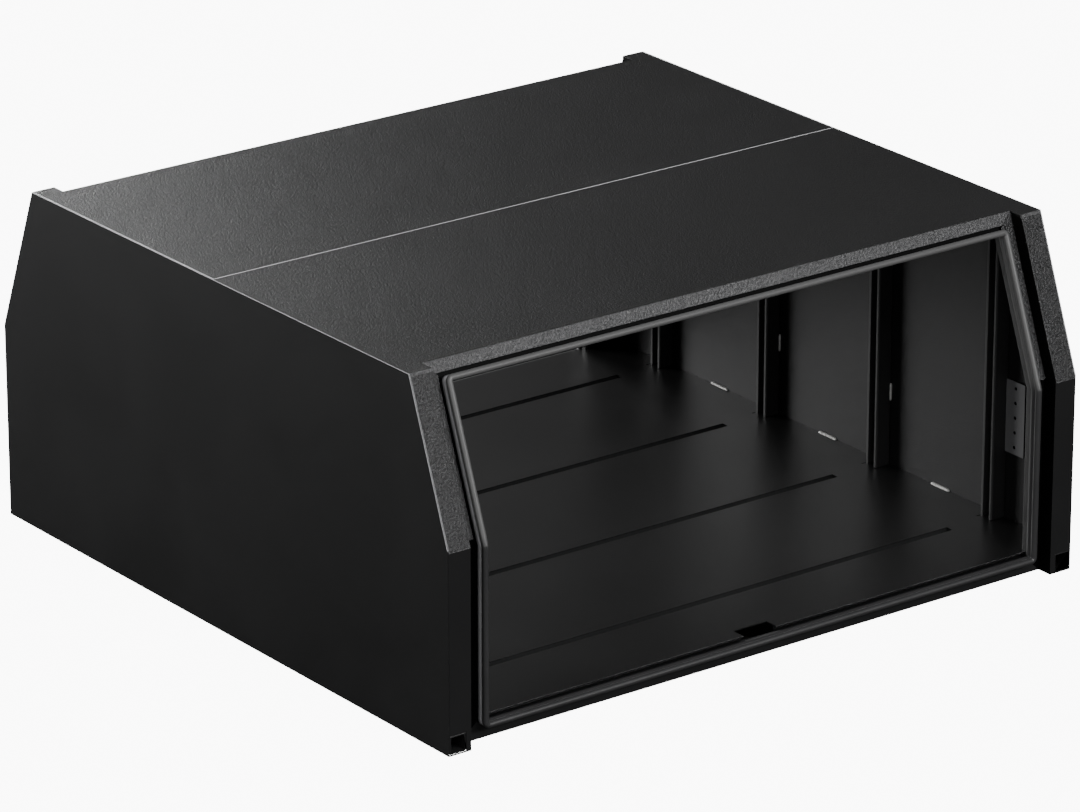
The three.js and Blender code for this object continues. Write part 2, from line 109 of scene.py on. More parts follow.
# %% Group: powder skin
def powder_skin_group():
    """Height of the coat: a distorted peel with a share of fine grain added."""
    group = bpy.data.node_groups.new("powder_skin", "ShaderNodeTree")
    socket = group.interface.new_socket
    socket("Peel Scale", in_out="INPUT", socket_type="NodeSocketFloat").default_value = 180.0
    socket("Grain Scale", in_out="INPUT", socket_type="NodeSocketFloat").default_value = 700.0
    socket("Grain Share", in_out="INPUT", socket_type="NodeSocketFloat").default_value = 0.2
    socket("Height", in_out="OUTPUT", socket_type="NodeSocketFloat")
    inputs = node(group, "NodeGroupInput")
    outputs = node(group, "NodeGroupOutput")
    place = node(group, "ShaderNodeTexCoord")
    peel = node(group, "ShaderNodeTexNoise", Detail=2.0, Roughness=0.45, Distortion=0.5)
    grain = node(group, "ShaderNodeTexNoise", Detail=1.0, Roughness=0.5)
    for noise, scale in ((peel, "Peel Scale"), (grain, "Grain Scale")):
        link(group, (place, "Object"), (noise, "Vector"))
        link(group, (inputs, scale), (noise, "Scale"))
    blend = node(group, "ShaderNodeMix", data_type="FLOAT")
    link(group, (inputs, "Grain Share"), (blend, "Factor"))
    group.links.new(peel.outputs["Fac"], blend.inputs[2])
    group.links.new(grain.outputs["Fac"], blend.inputs[3])
    group.links.new(blend.outputs[0], outputs.inputs["Height"])
    return group


POWDER_SKIN = powder_skin_group()

# %% [markdown]
# ## Handling marks
# A body like this has been wiped, leaned on and carried. Broad, faint patches are a little
# shinier or duller than the rest. They are worth having because a perfectly even gloss looks
# like a drawing, so one more group gives a slow mask that nudges the roughness.


# %% Group: handling marks
def handling_group():
    """A slow mask, near one half with soft patches, for gloss that varies over a panel."""
    group = bpy.data.node_groups.new("handling_marks", "ShaderNodeTree")
    socket = group.interface.new_socket
    socket("Scale", in_out="INPUT", socket_type="NodeSocketFloat").default_value = 3.0
    socket("Mask", in_out="OUTPUT", socket_type="NodeSocketFloat")
    inputs = node(group, "NodeGroupInput")
    outputs = node(group, "NodeGroupOutput")
    place = node(group, "ShaderNodeTexCoord")
    noise = node(group, "ShaderNodeTexNoise", Detail=5.0, Roughness=0.55, Distortion=0.6)
    link(group, (place, "Object"), (noise, "Vector"))
    link(group, (inputs, "Scale"), (noise, "Scale"))
    link(group, (noise, "Fac"), (outputs, "Mask"))
    return group


HANDLING = handling_group()
print("made the skin and the handling groups")

# %% [markdown]
# ## Painted light on the upper seal
# Above the waist the door frame leans back and faces the light, so the seal there is painted a
# lighter grey as painted light, while the upright part below stays dark. The mask rises with the
# height, over a few centimetres at the waist.


# %% Group: painted light above the waist
PAINTED_LIGHT_FROM = 0.46
PAINTED_LIGHT_FULL = 0.50


def painted_light_group():
    """A mask that goes from none to full between two heights, in metres."""
    group = bpy.data.node_groups.new("painted_light_above_waist", "ShaderNodeTree")
    socket = group.interface.new_socket
    socket("Low", in_out="INPUT", socket_type="NodeSocketFloat").default_value = PAINTED_LIGHT_FROM
    socket("High", in_out="INPUT", socket_type="NodeSocketFloat").default_value = PAINTED_LIGHT_FULL
    socket("Mask", in_out="OUTPUT", socket_type="NodeSocketFloat")
    inputs = node(group, "NodeGroupInput")
    outputs = node(group, "NodeGroupOutput")
    place = node(group, "ShaderNodeTexCoord")
    axes = node(group, "ShaderNodeSeparateXYZ")
    rise = node(group, "ShaderNodeMapRange", interpolation_type="SMOOTHSTEP")
    link(group, (place, "Object"), (axes, "Vector"))
    link(group, (axes, "Z"), (rise, "Value"))
    link(group, (inputs, "Low"), (rise, "From Min"))
    link(group, (inputs, "High"), (rise, "From Max"))
    link(group, (rise, "Result"), (outputs, "Mask"))
    return group


PAINTED_LIGHT_RISE = painted_light_group()

# %% [markdown]
# ## Finishes from one recipe
# Every painted piece and the rubber use the same recipe and differ only in numbers: two colours,
# gloss and its spread, the size and height of the skin, and how strongly the surface mirrors.
# The roof and the caps are the most leathery, the end walls calmer, the inside nearly smooth.
# The caps and the roof's folds get painted highlights on their ridges. The folds also get a lighter
# copy of the roof's coat, which is painted light, and the seal is painted lighter above the waist.

# %% One recipe
GRAIN_FINENESS = 4.0
COOL_TINT = 1.03
RIDGE_FOOT = 0.38
RIDGE_TOP = 0.62


def finish(
    name, dark, light, gloss, spread, peel, grain_share, depth, specular,
    marks=3.0, ridge_highlight=0.0, painted_light_grey=0.0,
):
    """A dark plastic skin: colour and roughness follow the handling marks, the bump the skin.

    The share of the skin's own height in the colour paints a highlight on its ridges, so that
    they look paler.
    The grey above the waist is painted light on the leaning seal there, and 0 leaves it out.
    """
    material = bpy.data.materials.new(name)
    material.use_nodes = True
    tree = material.node_tree
    shader = tree.nodes["Principled BSDF"]
    shader.inputs["Specular IOR Level"].default_value = specular
    skin = node(tree, "ShaderNodeGroup", node_tree=POWDER_SKIN)
    skin.inputs["Peel Scale"].default_value = peel
    skin.inputs["Grain Scale"].default_value = peel * GRAIN_FINENESS
    skin.inputs["Grain Share"].default_value = grain_share
    slow = node(tree, "ShaderNodeGroup", node_tree=HANDLING)
    slow.inputs["Scale"].default_value = marks
    colour = node(tree, "ShaderNodeMix", data_type="RGBA")
    colour.inputs[6].default_value = (dark, dark, dark * COOL_TINT, 1.0)
    colour.inputs[7].default_value = (light, light, light * COOL_TINT, 1.0)
    # Painted highlight: the skin's ridges are made paler in colour, by the share given.
    painted_ridges = node(tree, "ShaderNodeMapRange", From_Min=RIDGE_FOOT, From_Max=RIDGE_TOP)
    link(tree, (skin, "Height"), (painted_ridges, "Value"))
    share = node(tree, "ShaderNodeMix", data_type="FLOAT")
    share.inputs[0].default_value = ridge_highlight
    tree.links.new(slow.outputs["Mask"], share.inputs[2])
    tree.links.new(painted_ridges.outputs["Result"], share.inputs[3])
    tree.links.new(share.outputs[0], colour.inputs[0])
    base = colour.outputs[2]
    # Painted light: above the waist the colour is mixed towards the given grey, where the leaning
    # seal faces the light.
    if painted_light_grey:
        light_rise = node(tree, "ShaderNodeGroup", node_tree=PAINTED_LIGHT_RISE)
        lightened = node(tree, "ShaderNodeMix", data_type="RGBA")
        lightened.inputs[7].default_value = (painted_light_grey, painted_light_grey, painted_light_grey, 1.0)
        tree.links.new(light_rise.outputs["Mask"], lightened.inputs[0])
        tree.links.new(base, lightened.inputs[6])
        base = lightened.outputs[2]
    tree.links.new(base, shader.inputs["Base Color"])
    rough = node(tree, "ShaderNodeMapRange", To_Min=gloss - spread, To_Max=gloss + spread)
    link(tree, (slow, "Mask"), (rough, "Value"))
    link(tree, (rough, "Result"), (shader, "Roughness"))
    relief = node(tree, "ShaderNodeBump", Strength=1.0, Distance=depth)
    link(tree, (skin, "Height"), (relief, "Height"))
    link(tree, (relief, "Normal"), (shader, "Normal"))
    return material


# %% The coats and the rubber
ROOF_COAT = finish(
    "roof_powder_coat", dark=0.007, light=0.012, gloss=0.33, spread=0.04, peel=210.0,
    grain_share=0.3, depth=0.0020, specular=0.42,
)
CAP_COAT = finish(
    "cap_powder_coat", dark=0.002, light=0.046, gloss=0.31, spread=0.04, peel=200.0,
    grain_share=0.2, depth=0.0032, specular=0.45, ridge_highlight=0.9,
)
# The roof's front and rear folds get a lighter copy of the roof's coat: painted light.
LIT_FOLD_COAT = finish(
    "roof_fold_painted_light_coat", dark=0.030, light=0.090, gloss=0.34, spread=0.04, peel=185.0,
    grain_share=0.2, depth=0.0040, specular=0.7, ridge_highlight=0.9,
)
WALL_COAT = finish(
    "wall_powder_coat", dark=0.008, light=0.014, gloss=0.42, spread=0.04, peel=420.0,
    grain_share=0.4, depth=0.0003, specular=0.42,
)
FLOOR_COAT = finish(
    "floor_powder_coat", dark=0.003, light=0.006, gloss=0.38, spread=0.04, peel=420.0,
    grain_share=0.3, depth=0.0002, specular=0.45,
)
PANEL_COAT = finish(
    "panel_powder_coat", dark=0.007, light=0.011, gloss=0.33, spread=0.04, peel=420.0,
    grain_share=0.4, depth=0.0004, specular=0.4,
)
INNER_COAT = finish(
    "satin_powder_coat", dark=0.004, light=0.008, gloss=0.29, spread=0.04, peel=150.0,
    grain_share=0.1, depth=0.0003, specular=0.5,
)
RIB_COAT = finish(
    "rib_powder_coat", dark=0.014, light=0.022, gloss=0.38, spread=0.04, peel=150.0,
    grain_share=0.1, depth=0.0003, specular=0.5,
)
PLATE_COAT = finish(
    "bracket_powder_coat", dark=0.090, light=0.130, gloss=0.45, spread=0.05, peel=150.0,
    grain_share=0.2, depth=0.0003, specular=0.5,
)
# Pale coats for the narrow bevels of cut edges: a painted highlight on each bright edge.
EDGE_HIGHLIGHT_COAT = finish(
    "painted_edge_highlight", dark=0.45, light=0.60, gloss=0.34, spread=0.05, peel=150.0,
    grain_share=0.2, depth=0.0001, specular=0.6, marks=40.0,
)
ROOF_EDGE_HIGHLIGHT_COAT = finish(
    "painted_roof_edge_highlight", dark=0.80, light=0.95, gloss=0.30, spread=0.05, peel=150.0,
    grain_share=0.2, depth=0.0001, specular=0.8, marks=40.0,
)
# Near-black coat for faces deep in the gutters and in the bracket's holes: painted shade.
SHADED_COAT = finish(
    "shaded_gutter_coat", dark=0.001, light=0.002, gloss=0.6, spread=0.05, peel=185.0,
    grain_share=0.2, depth=0.0006, specular=0.1,
)
SEAL_RUBBER = finish(
    "bulb_seal_rubber", dark=0.026, light=0.038, gloss=0.42, spread=0.05, peel=260.0,
    grain_share=0.4, depth=0.00006, specular=0.6, marks=12.0, painted_light_grey=0.10,
)
# The clip's outward side is painted far paler than the bulb: painted light on a side that lies in
# the gutter's shade.
LIT_CLIP_RUBBER = finish(
    "clip_rubber_painted_light", dark=0.28, light=0.36, gloss=0.45, spread=0.05, peel=260.0,
    grain_share=0.4, depth=0.00006, specular=0.5, marks=12.0,
)
print("finishes so far", len(bpy.data.materials))


# %% Bare weld metal
RIPPLE_MARKS = 160.0


def weld_metal():
    """Aluminium weld bead: bright, with a dull oxide skin between the ripples."""
    material = bpy.data.materials.new("weld_bead_metal")
    material.use_nodes = True
    tree = material.node_tree
    shader = tree.nodes["Principled BSDF"]
    shader.inputs["Metallic"].default_value = 0.7
    slow = node(tree, "ShaderNodeGroup", node_tree=HANDLING)
    slow.inputs["Scale"].default_value = RIPPLE_MARKS
    colour = node(tree, "ShaderNodeMix", data_type="RGBA")
    colour.inputs[6].default_value = (0.30, 0.30, 0.29, 1.0)
    colour.inputs[7].default_value = (0.75, 0.75, 0.73, 1.0)
    tree.links.new(slow.outputs["Mask"], colour.inputs[0])
    tree.links.new(colour.outputs[2], shader.inputs["Base Color"])
    rough = node(tree, "ShaderNodeMapRange", To_Min=0.35, To_Max=0.6)
    link(tree, (slow, "Mask"), (rough, "Value"))
    link(tree, (rough, "Result"), (shader, "Roughness"))
    return material


WELD_METAL = weld_metal()

# %% [markdown]
# ## Folded edges and cut edges
# A CAD edge is infinitely sharp and reflects nothing. On the real sheet there are two kinds of
# edge, and they catch light differently. A fold is a soft bend of a few millimetres. A cut edge
# is barely broken and shines as a fine bright line, which is painted here as a highlight: a pale
# coat on its narrow bevel. Each CAD node's mesh is copied and merged into whole flat faces. A
# face's width is its area over its longest side, and an edge beside a face as narrow as the sheet
# is thick must be a cut edge.

# %% Edge kinds
SHEET_LIMIT = 0.0035
BENT_ANGLE = math.radians(15.0)


def field(owner, name, kind, size=1):
    """Read one value per element of a mesh collection as an array."""
    values = np.empty(len(owner) * size, dtype=kind)
    owner.foreach_get(name, values)
    return values.reshape(-1, size) if size > 1 else values


def edge_kinds(mesh):
    """Give each edge's middle, and masks of the outward edges that are folded and that are cut.

    An edge turns outward when the middle of one face lies behind the plane of the other.
    """
    ends = field(mesh.edges, "vertices", np.int32, 2)
    corners = field(mesh.vertices, "co", np.float32, 3)
    length = np.linalg.norm(corners[ends[:, 0]] - corners[ends[:, 1]], axis=1)
    middle = corners[ends].mean(axis=1)
    loop_edge = field(mesh.loops, "edge_index", np.int32)
    owner = np.repeat(np.arange(len(mesh.polygons)), field(mesh.polygons, "loop_total", np.int32))
    longest = np.zeros(len(mesh.polygons))
    np.maximum.at(longest, owner, length[loop_edge])
    width = field(mesh.polygons, "area", np.float32) / longest
    beside = owner[np.argsort(loop_edge, kind="stable")].reshape(-1, 2)
    normal = field(mesh.polygons, "normal", np.float32, 3)
    centre = field(mesh.polygons, "center", np.float32, 3)
    first, second = beside[:, 0], beside[:, 1]
    bent = (normal[first] * normal[second]).sum(axis=1) < math.cos(BENT_ANGLE)
    outward = (normal[first] * (centre[second] - middle)).sum(axis=1) < 0.0
    thin = width[beside].min(axis=1) < SHEET_LIMIT
    return middle, bent & outward & ~thin, bent & outward & thin


# %% [markdown]
# ## Dressing a CAD node
# Two Bevel modifiers share the work. The first rounds the folds with a wide radius and any dull
# cut edge with a small one, through an edge attribute named plain. The second rounds the bright
# cut edges and gives those narrow strips a pale coat, which is a painted highlight. Normals
# weighted by area then keep the wide faces flat to the eye. The copy stands for its node, which
# stays hidden in its place.


# %% Dress the CAD nodes
SAME_POINT = 2e-5
SAME_PLANE = math.radians(1.0)
SHARP_ANGLE = math.radians(20.0)
TUCK_REACH = 0.012
FOLD_STEPS, RIM_STEPS = 4, 3


def dressed(name, coats, fold, rim, bright, coat_of=None, crisp=None, tuck=0.0):
    """Copy a node's mesh, round its edges, and hand out its finishes.

    coats are the main, the bright-edge and any further finishes; the bright-edge finish is a
    painted highlight. bright takes the middles of cut edges and says which get that painted
    highlight. coat_of takes face normals and centres and gives finish numbers.
    crisp takes the middles of edges and says which stay as sharp as the CAD has them. tuck lifts
    the topmost vertices a little under the sheet above, so that the joint shows no light.
    """
    mesh = frame["nodes"][name].data.copy()
    shape = bmesh.new()
    shape.from_mesh(mesh)
    bmesh.ops.remove_doubles(shape, verts=shape.verts, dist=SAME_POINT)
    bmesh.ops.dissolve_limit(
        shape, angle_limit=SAME_PLANE, verts=shape.verts, edges=shape.edges,
    )
    shape.to_mesh(mesh)
    shape.free()
    corners = field(mesh.vertices, "co", np.float32, 3)
    corners[:, 2] += np.where(corners[:, 2] > BODY_HEIGHT - TUCK_REACH, tuck, 0.0)
    mesh.vertices.foreach_set("co", corners.ravel())
    mesh.materials.clear()
    for coat in coats:
        mesh.materials.append(coat)
    middle, folded, cut = edge_kinds(mesh)
    if crisp:
        soft = ~crisp(middle)
        folded, cut = folded & soft, cut & soft
    shining = cut & bright(middle)
    plain = np.where(folded, 1.0, np.where(cut & ~shining, min(1.0, rim / fold), 0.0))
    for label, weights in (("plain", plain), ("shining", shining.astype(float))):
        mesh.attributes.new(label, "FLOAT", "EDGE").data.foreach_set("value", weights)
    if coat_of:
        normal = field(mesh.polygons, "normal", np.float32, 3)
        centre = field(mesh.polygons, "center", np.float32, 3)
        number = coat_of(normal, centre).astype(np.int32)
        mesh.polygons.foreach_set("material_index", number)
    mesh.shade_smooth()
    mesh.set_sharp_from_angle(angle=SHARP_ANGLE)
    piece = bpy.data.objects.new("dressed_" + name, mesh)
    bpy.context.collection.objects.link(piece)
    for label, width, steps in (("plain", fold, FOLD_STEPS), ("shining", rim, RIM_STEPS)):
        bevel = piece.modifiers.new(label + " edges", "BEVEL")
        bevel.limit_method = "WEIGHT"
        bevel.edge_weight = label
        bevel.width = width
        bevel.segments = steps
        bevel.use_clamp_overlap = True
        if label == "shining":
            bevel.material = 1
    level = piece.modifiers.new("flat faces stay flat", "WEIGHTED_NORMAL")
    level.keep_sharp = True
    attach(piece, "root")
    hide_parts(name)
    return piece


# %% [markdown]
# ## Sizes of the door frame
# The door frame, its sill and its seal are bent from long profiles, so they are made again here
# as smooth sweeps. Each lies in one flat plane below the waist and leans back above it.

# %% Sizes, in metres
HALF_LENGTH = 0.902
HALF_WIDTH = 0.892
BODY_HEIGHT = 0.854
SEAT = 0.0003
WALL_SHEET = 0.003
WAIST = 0.486
SHOULDER_INSET = 0.139
POST_WIDTH = 0.062
CAP_STAND = 0.005
FOLD_DEPTH = 0.031
FLANGE_LINE = 0.045
FLANGE_TIP = 0.021
FLANGE_ROOT = 0.052
FRAME_SHEET = 0.0025
GUTTER_DEPTH = 0.041
FRAME_RETURN = 0.020
FRAME_BEND = 0.0045
SILL_BEND = 0.0025
LATCH_HALF = 0.048
LATCH_RIM_DEPTH = 0.033
LATCH_RIM_MIDDLE = 0.027
FLOOR_TOP = 0.058
FLOOR_UNDER = 0.0547
FLOOR_EDGE = HALF_WIDTH - 0.038

LEAN = math.atan2(SHOULDER_INSET, BODY_HEIGHT - WAIST)
LEAN_SIN, LEAN_COS = math.sin(LEAN), math.cos(LEAN)
MITRE = math.tan(LEAN / 2)
FRAME_WAIST = WAIST - CAP_STAND / LEAN_SIN
FLANGE_X = HALF_LENGTH - POST_WIDTH - FLANGE_LINE
FLANGE_TOP = (BODY_HEIGHT - FRAME_WAIST + FOLD_DEPTH * LEAN_SIN) / LEAN_COS - FLANGE_LINE
print("frame leans", round(math.degrees(LEAN), 2), "degrees above", round(FRAME_WAIST, 4))

# %% [markdown]
# ## Stations
# A profile is a closed outline of points, each with an out value, away from the opening, and a
# depth value, into the body. A station says where the profile's zero point lies, and which way
# one metre of out and one metre of depth lead there. A mitre is simply a station whose
# directions aren't at right angles to the path, so the two sides of a corner share one ring.


# %% Stations
def foot(side):
    """Lower corner of the opening, on the mitre between jamb and sill."""
    return (side * FLANGE_X, -HALF_WIDTH, FLANGE_LINE), (side, 0, -1), (0, 1, 0)


def waist(side, up=0.0):
    """On the bend at the waist, or a little below or above it along the jamb."""
    rise = (0.0, up) if up < 0 else (up * LEAN_SIN, up * LEAN_COS)
    place = (side * FLANGE_X, -HALF_WIDTH + rise[0], FRAME_WAIST + rise[1])
    return place, (side, 0, 0), (0, 1, -MITRE)


def top(side):
    """Upper corner of the opening, on the mitre between jamb and header."""
    place = (
        side * FLANGE_X,
        -HALF_WIDTH + FLANGE_TOP * LEAN_SIN,
        FRAME_WAIST + FLANGE_TOP * LEAN_COS,
    )
    return place, (side, LEAN_SIN, LEAN_COS), (0, LEAN_COS, -LEAN_SIN)


def across(x):
    """On the sill, square to it."""
    return (x, -HALF_WIDTH, FLANGE_LINE), (0, 0, -1), (0, 1, 0)


def turned_round(stations, rear):
    """Split stations into three arrays, turned half a turn about Z for the rear side."""
    arrays = [np.array([station[part] for station in stations], dtype=float) for part in range(3)]
    flip = np.array([-1.0, -1.0, 1.0]) if rear else np.ones(3)
    return [array * flip for array in arrays]


# %% [markdown]
# ## Outlines of bent sheet
# A folded sheet is a line with a thickness. Each inner corner of the line is replaced by an arc:
# it starts at the corner's distance radius times the tangent of half the turn, and its points
# are turned about its centre by equal steps. The outline runs along one side of the line, half
# a thickness away, and comes back along the other.


# %% Sheet outline
def sheet_outline(corners, radius, thickness, steps=8):
    """Outline of a sheet bent along a line of corners, as out and depth values."""
    corners = np.array(corners, dtype=float)
    heading = np.diff(corners, axis=0)
    heading /= np.linalg.norm(heading, axis=1, keepdims=True)
    before, after = heading[:-1], heading[1:]
    cross = before[:, 0] * after[:, 1] - before[:, 1] * after[:, 0]
    turn = np.arctan2(cross, (before * after).sum(axis=1))
    side = np.sign(turn)[:, None]
    left = np.stack([-before[:, 1], before[:, 0]], axis=1)
    start = corners[1:-1] - before * (radius * np.tan(np.abs(turn) / 2))[:, None]
    centre = start + left * side * radius
    angle = turn[:, None] * np.linspace(0.0, 1.0, steps + 1)
    normal = left[:, None] * np.cos(angle)[..., None] - before[:, None] * np.sin(angle)[..., None]
    bends = centre[:, None] - normal * side[:, None] * radius
    square = np.stack([-heading[:, 1], heading[:, 0]], axis=1)
    line = np.concatenate([corners[:1], bends.reshape(-1, 2), corners[-1:]])
    across_line = np.concatenate([square[:1], normal.reshape(-1, 2), square[-1:]]) * thickness / 2
    return np.concatenate([line + across_line, (line - across_line)[::-1]])


# %% [markdown]
# ## Carrying an outline
# The ring at a station is its zero point, plus each point's out value times the out direction,
# plus its depth value times the depth direction. Quads join each ring to the next one, and an
# open path gets a flat face at both ends. All indices come from one grid, so nothing is looped.


# %% Carry an outline through stations
def carried(outline, stations, rear=False, closed=False, scale=None):
    """Return points and faces of an outline carried through stations."""
    place, out, depth = turned_round(stations, rear)
    grow = np.ones(len(place)) if scale is None else scale
    flat = outline[None] * grow[:, None, None]
    rings = place[:, None] + flat[..., :1] * out[:, None] + flat[..., 1:] * depth[:, None]
    count, spans = len(outline), len(place) if closed else len(place) - 1
    ring = np.arange(spans)[:, None]
    point = np.arange(count)[None]
    here, there = ring * count, (ring + 1) % len(place) * count
    on = (point + 1) % count
    faces = np.stack([here + point, here + on, there + on, there + point], axis=-1)
    faces = faces.reshape(-1, 4).tolist()
    if not closed:
        last = (len(place) - 1) * count
        faces += [list(range(count))[::-1], list(range(last, last + count))]
    return rings.reshape(-1, 3), faces


def built(name, parts, coats, nodes, smooth=35.0):
    """Join carried parts into one piece that stands for nodes.

    Each part comes with a finish number, or with one number per point of its outline.
    """
    points, faces, coat_of_face, first = [], [], [], 0
    for (part_points, part_faces), coat in parts:
        faces += [[corner + first for corner in face] for face in part_faces]
        coat_of_face.append(np.resize(coat, len(part_faces)))
        first += len(part_points)
        points.append(part_points)
    mesh = bpy.data.meshes.new(name)
    mesh.from_pydata(np.concatenate(points).tolist(), [], faces)
    mesh.polygons.foreach_set("material_index", np.concatenate(coat_of_face).astype(np.int32))
    shape = bmesh.new()
    shape.from_mesh(mesh)
    bmesh.ops.recalc_face_normals(shape, faces=shape.faces)
    shape.to_mesh(mesh)
    shape.free()
    for coat in coats:
        mesh.materials.append(coat)
    mesh.shade_smooth()
    mesh.set_sharp_from_angle(angle=math.radians(smooth))
    piece = bpy.data.objects.new(name, mesh)
    bpy.context.collection.objects.link(piece)
    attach(piece, "root")
    if nodes:
        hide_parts(*nodes)
    return piece


# %% [markdown]
# ## Door frame and sill
# The flange stands up from the gutter's floor and carries the seal on its tip. At the back it
# bends round the opening's inner edge on the jambs and header, and turns up on the sill to carry
# the floor. The gutter's floor on the jambs and header is so deep and narrow that it lies in
# shade, and that shade is painted into its near-black coat. The sill is cut away in the middle,
# where the latch drops in.

# %% Door frames and sills
HALF_SHEET = FRAME_SHEET / 2
JAMB_SHEET = sheet_outline(
    [(0, FLANGE_TIP), (0, FLANGE_ROOT - HALF_SHEET), (FRAME_RETURN, FLANGE_ROOT - HALF_SHEET)],
    FRAME_BEND, FRAME_SHEET,
)
SILL_SHEET = sheet_outline(
    [
        (0, FLANGE_TIP), (0, FLANGE_ROOT - HALF_SHEET),
        (FLANGE_LINE - FLOOR_UNDER, FLANGE_ROOT - HALF_SHEET),
    ],
    SILL_BEND, FRAME_SHEET,
)
LATCH_RIM = sheet_outline(
    [(0, FLANGE_TIP), (0, LATCH_RIM_MIDDLE), (0, LATCH_RIM_DEPTH)], 0.0, FRAME_SHEET,
)
GUTTER_FLOOR = np.array([
    (0, GUTTER_DEPTH), (FLANGE_LINE - SEAT, GUTTER_DEPTH),
    (FLANGE_LINE - SEAT, GUTTER_DEPTH + FRAME_SHEET), (0, GUTTER_DEPTH + FRAME_SHEET),
])
FRAME_PATH = [foot(-1), waist(-1), top(-1), top(1), waist(1), foot(1)]
SILL_PATH = [foot(-1), foot(1)]
HANDS = ("left", "right")
FACES = (("front", False), ("rear", True))

for face, rear in FACES:
    nodes = [f"{face}_{hand}_{part}" for hand in HANDS for part in ("lower_jamb", "upper_jamb")]
    opening = built(
        f"{face}_door_frame",
        [(carried(JAMB_SHEET, FRAME_PATH, rear), 0), (carried(GUTTER_FLOOR, FRAME_PATH, rear), 1)],
        (INNER_COAT, SHADED_COAT), nodes + [f"{face}_header"],
    )
    spans = ((foot(-1), across(-LATCH_HALF)), (across(LATCH_HALF), foot(1)))
    rim = carried(LATCH_RIM, [across(-LATCH_HALF), across(LATCH_HALF)], rear)
    parts = [(carried(SILL_SHEET, list(span), rear), 0) for span in spans] + [(rim, 0)]
    parts.append((carried(GUTTER_FLOOR, SILL_PATH, rear), 1))
    built(f"{face}_door_sill", parts, (INNER_COAT, RIB_COAT), [f"{face}_sill"])
print("jamb outline has", len(JAMB_SHEET), "points, sill outline", len(SILL_SHEET))

# %% [markdown]
# ## Bulb seal
# The seal is one extruded profile pushed onto the flange and joined into a loop. Its clip grips
# the flange, and a soft hollow bulb stands in front of it. The clip bends round each corner. At
# the waist the bulb creases, so three stations lie close together there and the shading turns
# within a few millimetres.

# %% Seals
BULB_HALF = 0.0076
BULB_DEPTH = 0.008
CLIP_HALF = 0.006
CLIP_FRONT = 0.019
CLIP_BACK = 0.029
NECK_OUTER = 0.0025
NECK_INNER = 0.0045
SEAL_CORNER = 0.009
CREASE = 0.0012
CLIP_SOFT = 0.001
BULB_POINTS = 41


def seal_outline():
    """Clip with a slot for the flange, a neck, and a bulb of an ellipse's shape."""
    start = math.acos(NECK_OUTER / BULB_HALF)
    stop = -math.pi - math.acos(NECK_INNER / BULB_HALF)
    turn = np.linspace(start, stop, BULB_POINTS)
    bulb = np.stack([BULB_HALF * np.cos(turn), BULB_DEPTH + BULB_DEPTH * np.sin(turn)], axis=1)
    slot, soft = HALF_SHEET + SEAT, CLIP_SOFT
    right = [
        (slot, CLIP_BACK), (CLIP_HALF - soft, CLIP_BACK), (CLIP_HALF, CLIP_BACK - soft),
        (CLIP_HALF, CLIP_FRONT + soft), (CLIP_HALF - soft, CLIP_FRONT),
        (NECK_OUTER, CLIP_FRONT - soft),
    ]
    left = [
        (-CLIP_HALF + soft, CLIP_FRONT - soft), (-CLIP_HALF, CLIP_FRONT),
        (-CLIP_HALF, CLIP_BACK - soft), (-CLIP_HALF + soft, CLIP_BACK), (-slot, CLIP_BACK),
        (-slot, FLANGE_TIP - SEAT), (slot, FLANGE_TIP - SEAT),
    ]
    return np.concatenate([right, bulb, left])


def seal_corner(side, height, start, leaning, steps=10):
    """Stations round one corner: a quarter circle in the plane of the opening."""
    middle = side * (FLANGE_X - SEAL_CORNER)
    stations = []
    for angle in np.linspace(start, start + math.pi / 2, steps + 1):
        over, up = math.cos(angle), math.sin(angle)
        x, along = middle + SEAL_CORNER * over, height + SEAL_CORNER * up
        if leaning:
            place = (x, -HALF_WIDTH + along * LEAN_SIN, FRAME_WAIST + along * LEAN_COS)
            stations.append((place, (over, up * LEAN_SIN, up * LEAN_COS), (0, LEAN_COS, -LEAN_SIN)))
        else:
            stations.append(((x, -HALF_WIDTH, along), (over, 0, up), (0, 1, 0)))
    return stations


SEAL_OUTLINE = seal_outline()
# Faces of the clip's outward side, which take the painted-light rubber.
PAINTED_LIGHT_CLIP = np.isin(np.arange(len(SEAL_OUTLINE)), (1, 2, 3, 4)).astype(int)
LOW, HIGH = FLANGE_LINE + SEAL_CORNER, FLANGE_TOP - SEAL_CORNER
SEAL_PATH = (
    seal_corner(-1, LOW, math.pi, False) + seal_corner(1, LOW, 1.5 * math.pi, False)
    + [waist(1, -CREASE), waist(1), waist(1, CREASE)]
    + seal_corner(1, HIGH, 0.0, True) + seal_corner(-1, HIGH, math.pi / 2, True)
    + [waist(-1, CREASE), waist(-1), waist(-1, -CREASE)]
)
for face, rear in FACES:
    loop = carried(SEAL_OUTLINE, SEAL_PATH, rear, closed=True)
    seal = built(
        f"{face}_bulb_seal", [(loop, PAINTED_LIGHT_CLIP)], (SEAL_RUBBER, LIT_CLIP_RUBBER),
        [f"{face}_door_seal"], smooth=50.0,
    )
print("seal stations", len(SEAL_PATH))

# %% [markdown]
# ## Weld beads
# A weld bead is laid drop by drop, and each drop leaves a ripple. The bead's section is a quarter
# circle between the two sheets, its size swells and shrinks once per drop, and it tapers at both
# ends. Six beads run along the foot of the end walls. The shorter upright ones hold the ribs.

# %% Weld beads
BEAD = 0.006
DROP = 0.0032
RIPPLE = 0.16
END_SIZE = 0.45


def bead_scale(length, count):
    """Size of the bead along its run: one swell per drop, and short tapers at both ends."""
    along = np.linspace(0.0, length, count)
    swell = 1.0 - RIPPLE + RIPPLE * np.abs(np.sin(math.pi * along / DROP))
    taper = np.clip(np.minimum(along, length - along) / BEAD, 0.0, 1.0)
    return along, swell * (END_SIZE + (1.0 - END_SIZE) * np.sqrt(taper))


